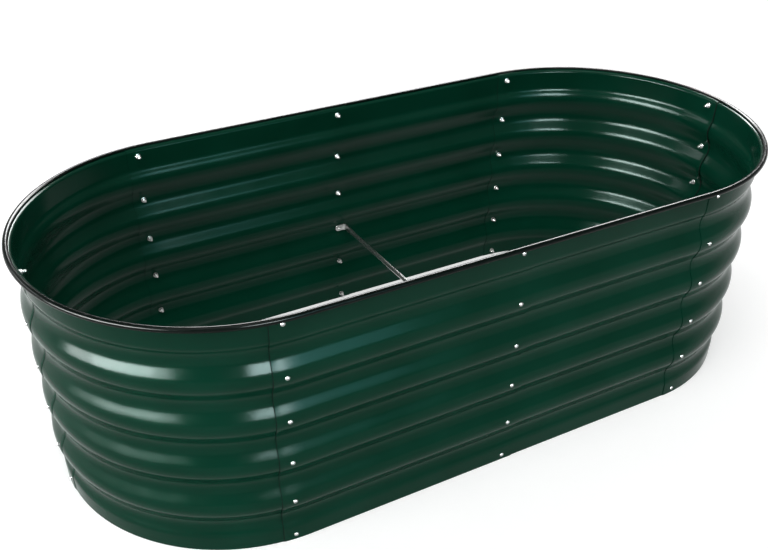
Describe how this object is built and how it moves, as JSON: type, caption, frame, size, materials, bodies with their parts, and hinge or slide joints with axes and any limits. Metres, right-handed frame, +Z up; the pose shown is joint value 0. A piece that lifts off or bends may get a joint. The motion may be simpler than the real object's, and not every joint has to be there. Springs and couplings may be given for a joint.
{
  "type": "raised garden bed",
  "caption": "Long oval raised garden bed of corrugated painted steel sheets bolted into an open-bottomed ring, with a round edge trim and a cross brace.",
  "frame": {"origin": "middle of the bed at ground level, on the plane that the sheets' bottom edges rest on", "axes": "+X along the length, -Y to the front, +Z up"},
  "size_m": [1.3218, 0.61, 0.4125],
  "materials": {
    "painted_sheet": "semi-gloss dark green paint",
    "edge_trim": "glossy near-black green",
    "zinc_steel": "bright zinc plate"
  },
  "bodies": {
    "root": {"panel_front_left": "painted_sheet", "panel_front_right": "painted_sheet", "panel_back_left": "painted_sheet", "panel_back_right": "painted_sheet", "corner_front_left": "painted_sheet", "corner_front_right": "painted_sheet", "corner_back_left": "painted_sheet", "corner_back_right": "painted_sheet", "edge_trim": "edge_trim", "cross_brace": "zinc_steel", "bolts_front_middle": "zinc_steel", "bolts_front_right": "zinc_steel", "bolts_right_end": "zinc_steel", "bolts_back_right": "zinc_steel", "bolts_back_middle": "zinc_steel", "bolts_back_left": "zinc_steel", "bolts_left_end": "zinc_steel", "bolts_front_left": "zinc_steel", "nuts_front_middle": "zinc_steel", "nuts_front_right": "zinc_steel", "nuts_right_end": "zinc_steel", "nuts_back_right": "zinc_steel", "nuts_back_middle": "zinc_steel", "nuts_back_left": "zinc_steel", "nuts_left_end": "zinc_steel", "nuts_front_left": "zinc_steel"}
  },
  "joints": []
}
